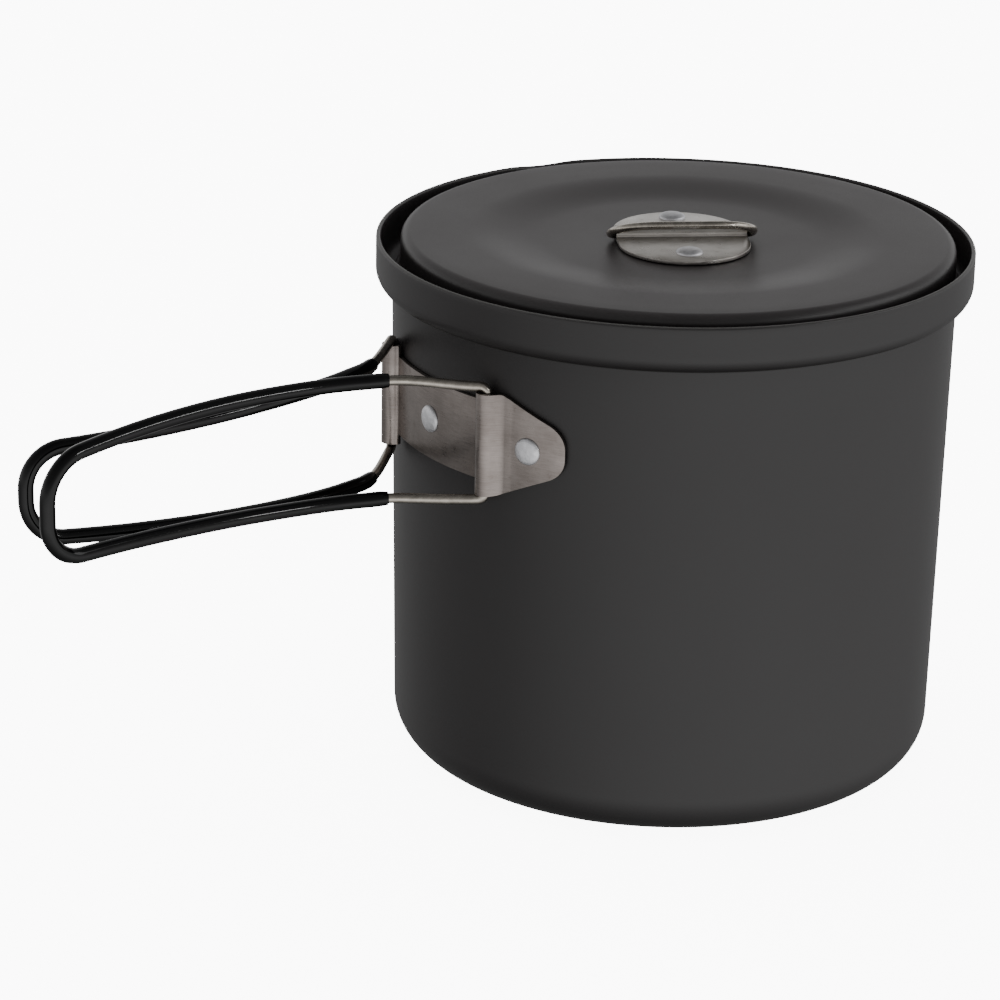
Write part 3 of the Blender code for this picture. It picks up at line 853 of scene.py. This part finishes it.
def makeSleeve(name, points):
    own = handleSides[name]
    pivot = hingePlace(own["side"])
    even = evenly(points, handle["sleeveSpacing"])
    covered = [p for p in even if (p.xy - pivot).length > own["start"]]
    gone = [0.0]
    for a, b in zip(covered, covered[1:]):
        gone.append(gone[-1] + (b - a).length)

    def swellAt(i):
        # drawn in tight round the wire at both ends
        away = min(gone[i], gone[-1] - gone[i])
        return (1 - handle["waist"]) + handle["waist"] * ease(away / handle["waistRun"])

    title = f"vinyl_sleeve_{name}"
    sleeve = bendTube(title, covered, handle["sleeve"], handle["sides"], closedEnds=False, swellAt=swellAt)
    wall = sleeve.modifiers.new("wall", "SOLIDIFY")
    wall.thickness = handle["sleeveWall"]
    wall.offset = -1.0
    roundEdges(sleeve, handle["sleeveEdge"], segments=2, angle=60)
    applyAll(sleeve)
    material = vinylFinish(f"vinyl_{name}")
    settle(sleeve, material, f"handle_{name}", "handle_sleeve", f"handle_sleeve_{name}")


def makeHandle(name):
    points = handleLine(name)
    wire = bendTube(f"wire_loop_{name}", points, handle["wire"], handle["sides"], closedEnds=True)
    material = wireSteelFinish(f"wire_steel_{name}", handle["wireGrain"])
    settle(wire, material, f"handle_{name}", "stainless_steel", f"handle_wire_{name}")
    makeSleeve(name, points)


lid = {
    "sheet": 0.0009,
    "top": 0.1355,
    "floor": 0.1336,
    "floorRings": [0.004, 0.018, 0.030],
    "floorRadius": 0.0340,
    "dishRadius": 0.0530,
    "dishSteps": 12,
    "topRings": [0.058, 0.063],
    "radius": 0.0694,
    "edgeRound": 0.0025,
    "lipRadius": 0.0711,
    "lipTop": 0.1250,
    "lipRound": 0.0010,
    "shift": (0.0006, -0.0004),
    "wornAbove": 1.0,  # higher than the lid, so no edge of it is worn
    "segments": 192,
}


def lidHeight(radius):
    share = ease((radius - lid["floorRadius"]) / (lid["dishRadius"] - lid["floorRadius"]))
    return lid["floor"] + (lid["top"] - lid["floor"]) * share


def lidRings():
    # out over the top, down the side, round the lip and back underneath
    t = lid["sheet"]
    edge = lid["edgeRound"]
    edgeX = lid["radius"] - edge
    edgeZ = lid["top"] - edge
    lip = lid["lipRound"]
    lipX = lid["radius"] + lip
    lipZ = lid["lipTop"] + lip
    slope = lid["dishRadius"] - lid["floorRadius"]
    dish = [lid["floorRadius"] + slope * i / lid["dishSteps"] for i in range(lid["dishSteps"] + 1)]
    face = lid["floorRings"] + dish + lid["topRings"]
    rings = [(r, lidHeight(r)) for r in face]
    rings += arc(edgeX, edgeZ, edge, 90, 0, steps=12)
    rings += arc(lipX, lipZ, lip, 180, 270, steps=6)
    rings += arc(lid["lipRadius"] - t / 2, lid["lipTop"] - t / 2, t / 2, 90, -90, steps=6)
    rings += arc(lipX, lipZ, lip + t, 270, 180, steps=6)
    rings += arc(edgeX, edgeZ, edge - t, 0, 90, steps=8)
    return rings + [(r, lidHeight(r) - t) for r in reversed(face)]


def makeLid():
    piece = turnRings("lid_shell", lidRings(), lid["segments"])
    piece.location = (*lid["shift"], 0)
    pickOnly(piece)
    applyPlace()
    material = anodisedFinish("anodised_lid", (*lid["shift"], 0), lid["wornAbove"])
    settle(piece, material, "lid", "hard_anodised_aluminium", "lid_pan", angle=50)


knob = {
    "turn": -27.5,  # degrees, the tunnel's direction from +X
    "shift": 0.0006,
    "gap": 0.0003,
    "sheet": 0.0009,
    "halfWidth": 0.0165,
    "nearOffset": 0.0068,
    "farOffset": 0.0036,
    "tipAngle": 2,  # degrees, where the round outline starts on either side
    "roundSteps": 24,
    "foot": 0.0008,
    "bore": 0.0013,
    "boreRise": 0.0002,
    "ringRise": 0.0001,
    "rivetY": 0.0156,
    "edgeRound": 0.00014,
    # painted light: these stainless tones are a lighter copy of the bracket's steel, standing in for the
    # brighter light on the knob plate
    "tones": {
        "dark": (0.42, 0.395, 0.365),
        "light": (0.60, 0.575, 0.54),
        "stain": (0.31, 0.28, 0.245),
        "grainTurn": (0.4, 0.2, 0.3),
    },
}


def knobPlace():
    shift = Matrix.Translation((*lid["shift"], 0))
    turn = Matrix.Rotation(math.radians(knob["turn"]), 4, "Z")
    return shift @ turn @ Matrix.Translation((knob["shift"], 0, 0))


def ringHeight():
    return lid["floor"] + knob["gap"] + ring["wire"] + knob["ringRise"]


def plateStations():
    middle = lid["floor"] + knob["gap"] + knob["sheet"] / 2
    roll = knob["bore"] + knob["sheet"] / 2
    foot = knob["foot"]
    wide = knob["halfWidth"]
    steps = knob["roundSteps"]
    tip = knob["tipAngle"]
    turns = [math.radians(tip + (90 - tip) * i / steps) for i in range(1, steps + 1)]
    out = [(-knob["nearOffset"] - wide * math.cos(a), middle, wide * math.sin(a)) for a in turns]
    path = arc(-roll - foot, middle + foot, foot, -90, 0, steps=6)
    path += arc(0, ringHeight() + knob["boreRise"], roll, 180, 0, steps=26)
    path += arc(roll + foot, middle + foot, foot, 180, 270, steps=6)
    out += [(y, z, wide) for y, z in path]
    out += [(knob["farOffset"] + wide * math.cos(a), middle, wide * math.sin(a)) for a in reversed(turns)]
    return [(knobPlace() @ Vector((0, y, z)), half) for y, z, half in out]


def makeKnobPlate():
    across = knobPlace().to_3x3() @ Vector((1, 0, 0))
    piece = pullStrip("knob_plate", plateStations(), across)
    thicken(piece, knob["sheet"], knob["edgeRound"])
    material = sheetSteelFinish("knob_plate_steel_painted_light", knob["tones"])
    settle(piece, material, "lid", "stainless_steel", "lid_knob_plate")


ring = {
    "wire": 0.0010,
    "wireGrain": (1, 1, 1),
    "sides": 5,
    "halfWidth": 0.0179,
    "tunnelShare": 0.45,  # share of the half width that is one straight piece
    "reach": 0.0133,
    "corner": 0.0105,
    "bend": 0.0018,
    "butt": 0.0005,
    "tilt": 25.4,  # degrees, up from the lid
}


def makeLidRing():
    r = ring
    half = [(r["butt"], 0.0), (r["halfWidth"] * r["tunnelShare"], 0.0)]
    half += arc(r["halfWidth"] - r["bend"], r["bend"], r["bend"], -90, 0, steps=10)
    half += arc(r["halfWidth"] - r["corner"], r["reach"] - r["corner"], r["corner"], 0, 90, steps=20)
    outline = half + [(-x, y) for x, y in reversed(half)]
    tilt = Matrix.Rotation(math.pi - math.radians(r["tilt"]), 4, "X")
    place = knobPlace() @ Matrix.Translation((0, 0, ringHeight())) @ tilt
    points = [place @ Vector((x, y, 0)) for x, y in outline]
    piece = bendTube("lid_ring_wire", points, r["wire"], r["sides"], closedEnds=True)
    settle(piece, wireSteelFinish("ring_steel", r["wireGrain"]), "ring", "stainless_steel", "lid_ring")


lidRivet = {
    "shank": 0.0018,
    "head": 0.0034,
    "rise": 0.0012,
    "back": 0.0030,
    "backRise": 0.0009,
    "segments": 48,
}


def makeLidRivets():
    outer = lid["floor"] + knob["gap"] + knob["sheet"]
    inner = lid["floor"] - lid["sheet"]
    for name, y in (("front", -knob["rivetY"]), ("back", knob["rivetY"])):
        place = knobPlace() @ Matrix.Translation((0, y, 0))
        makeRivet(f"knob_rivet_{name}", lidRivet, outer, inner, place, "lid", f"lid_rivet_{name}")


# each stop of a sky is a height, from -1 straight down to 1 straight up, and how bright it is there
stage = {
    "floorSize": 8,
    "floorColor": (0.92, 0.92, 0.92),
    "floorRoughness": 0.8,
    "floorSpecular": 0.2,
    "floorGlow": 9.0,
    "frontSky": [(-1.0, 0.60), (-0.40, 2.00), (-0.10, 1.40), (0.10, 0.60), (0.40, 0.30), (1.0, 0.15)],
    "backSky": [(-1.0, 0.10), (-0.45, 0.32), (-0.15, 0.55), (0.05, 1.15), (0.40, 0.50), (1.0, 0.10)],
    "frontSide": (-0.139, -0.990, 0.0),
    "frontSpread": (-0.25, 1),
    "cameraPlace": (-0.529737, -0.729121, 0.399882),
    "cameraTurn": (1.2127, -0.0175, -0.5745),
    "lens": 134.7798,
    "sensor": 36,
    "farClip": 20,
}
lights = {
    "overhead": {
        "place": (0.0, 0.5, 1.7),
        "target": (0, 0.2, 0),
        "size": (2.6, 2.2),
        "power": 60,
        "mirrored": False,
    },
    "strip": {
        "place": (0.39, -0.90, 0.47),
        "target": (-0.1, 0, 0.1),
        "size": (0.13, 0.05),
        "power": 0.9,
        "mirrored": True,
    },
    "key": {
        "place": (1.1, -0.7, 0.8),
        "target": (0, 0, 0.07),
        "size": (0.7, 0.7),
        "power": 3,
        "mirrored": True,
    },
}


def addLight(name):
    own = lights[name]
    clearSelection()
    bpy.ops.object.light_add(type="AREA", location=own["place"])
    light = bpy.context.object
    light.name = name
    light.data.shape = "RECTANGLE"
    light.data.size, light.data.size_y = own["size"]
    light.data.energy = own["power"]
    light.visible_glossy = own["mirrored"]
    way = Vector(own["target"]) - Vector(own["place"])
    light.rotation_euler = way.to_track_quat("-Z", "Y").to_euler()


def skyRamp(tree, height, levels):
    ramp = addNode(tree, "ShaderNodeValToRGB")
    tree.links.new(height, ramp.inputs["Fac"])
    while len(ramp.color_ramp.elements) < len(levels):
        ramp.color_ramp.elements.new(0.5)
    for stop, (place, level) in zip(ramp.color_ramp.elements, levels):
        stop.position = (place + 1) / 2
        stop.color = (level, level, level, 1)
    return ramp.outputs["Color"]


def makeSky():
    # a plain grey studio: bright low down in front, bright along the horizon behind, dim overhead
    world = bpy.data.worlds.new("studio")
    bpy.context.scene.world = world
    world.use_nodes = True
    tree = world.node_tree
    light = tree.nodes["Background"]
    light.inputs["Color"].default_value = (1, 1, 1, 1)
    way = addNode(tree, "ShaderNodeTexCoord").outputs["Generated"]
    split = addNode(tree, "ShaderNodeSeparateXYZ")
    tree.links.new(way, split.inputs[0])
    height = fit(tree, split.outputs["Z"], (-1, 1))
    side = addNode(tree, "ShaderNodeVectorMath", operation="DOT_PRODUCT")
    side.inputs[1].default_value = stage["frontSide"]
    tree.links.new(way, side.inputs[0])
    level = addNode(tree, "ShaderNodeMix")
    tree.links.new(fit(tree, side.outputs["Value"], stage["frontSpread"]), level.inputs["Factor"])
    tree.links.new(skyRamp(tree, height, stage["backSky"]), level.inputs["A"])
    tree.links.new(skyRamp(tree, height, stage["frontSky"]), level.inputs["B"])
    tree.links.new(level.outputs["Result"], light.inputs["Strength"])


def makeFloor():
    clearSelection()
    bpy.ops.mesh.primitive_plane_add(size=stage["floorSize"], location=(0, 0, 0))
    floor = bpy.context.object
    floor.name = "floor"
    material, shader = newFinish("pale_floor", stage["floorColor"], 0.0, stage["floorRoughness"])
    shader.inputs["Specular IOR Level"].default_value = stage["floorSpecular"]
    shader.inputs["Emission Color"].default_value = (1, 1, 1, 1)
    shader.inputs["Emission Strength"].default_value = stage["floorGlow"]
    floor.data.materials.append(material)
    floor.visible_glossy = False  # the dark coat mirrors the dim studio and not the bright floor
    floor.visible_diffuse = False


def placeCamera():
    bpy.ops.object.camera_add(location=stage["cameraPlace"], rotation=stage["cameraTurn"])
    camera = bpy.context.object
    camera.data.lens = stage["lens"]
    camera.data.sensor_width = stage["sensor"]
    camera.data.clip_end = stage["farClip"]
    bpy.context.scene.camera = camera


makePot()
print("pot: wall and rim done")
makeBracket()
makeWallRivets()
print("pot: bracket and rivets done")
for side in handleSides:
    makeHandle(side)
print("pot: handles done")
makeLid()
makeKnobPlate()
makeLidRing()
makeLidRivets()
print("pot: lid done")
makeFloor()
makeSky()
for light in lights:
    addLight(light)
placeCamera()
print("pot: floor, sky, lights and camera done")
